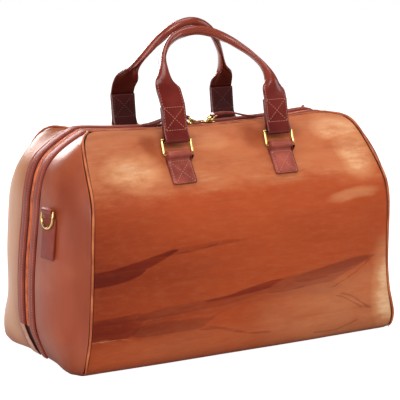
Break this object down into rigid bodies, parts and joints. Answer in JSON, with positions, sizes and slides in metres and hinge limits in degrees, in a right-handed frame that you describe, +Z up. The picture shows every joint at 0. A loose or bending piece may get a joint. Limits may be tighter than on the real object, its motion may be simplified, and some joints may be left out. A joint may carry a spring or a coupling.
{
  "type": "leather travel bag",
  "caption": "Boxy tan leather weekend bag with a zip over the top and ends, two rolled burgundy handles on brass rings, piped seams and a hanging brass D-ring on each end.",
  "frame": {"origin": "middle of the base's underside, on the surface that the bag stands on", "axes": "+Z up, +X along the bag's length, -Y towards the front face, which holds the front handle"},
  "size_m": [0.4956, 0.243, 0.4093],
  "materials": {
    "tan_leather": "satin",
    "burgundy_leather": "glossy",
    "zip_tape": "matte",
    "zip_chain": "matte",
    "brass": "polished"
  },
  "bodies": {
    "bag": {"front_panel": "tan_leather", "back_panel": "tan_leather", "left_gusset_front": "tan_leather", "left_gusset_back": "tan_leather", "right_gusset_front": "tan_leather", "right_gusset_back": "tan_leather", "base_panel": "tan_leather", "front_piping": "tan_leather", "back_piping": "tan_leather", "front_zip_trim": "burgundy_leather", "back_zip_trim": "burgundy_leather", "zip_tape": "zip_tape", "zip_chain": "zip_chain", "left_zip_end_patch": "tan_leather", "right_zip_end_patch": "tan_leather", "left_slider": "brass", "left_pull_link": "brass", "left_zip_pull": "burgundy_leather", "right_slider": "brass", "right_pull_link": "brass", "right_zip_pull": "burgundy_leather", "front_left_ring": "brass", "front_left_tab": "burgundy_leather", "front_right_ring": "brass", "front_right_tab": "burgundy_leather", "back_left_ring": "brass", "back_left_tab": "burgundy_leather", "back_right_ring": "brass", "back_right_tab": "burgundy_leather", "front_handle": "burgundy_leather", "back_handle": "burgundy_leather", "left_ring_strip": "burgundy_leather", "left_ring_loop": "burgundy_leather", "right_ring_strip": "burgundy_leather", "right_ring_loop": "burgundy_leather"},
    "left_d_ring": {"left_d_ring": "brass"},
    "right_d_ring": {"right_d_ring": "brass"}
  },
  "joints": [
    {"name": "left_d_ring_swing", "type": "hinge", "parent": "bag", "child": "left_d_ring", "pos_m": [-0.24177, -0.05629, 0.19503], "axis": [-0.1408, 0.99, 0], "range_deg": [0, 165]},
    {"name": "right_d_ring_swing", "type": "hinge", "parent": "bag", "child": "right_d_ring", "pos_m": [0.24177, 0.05629, 0.19503], "axis": [0.1408, -0.99, 0], "range_deg": [0, 165]}
  ]
}
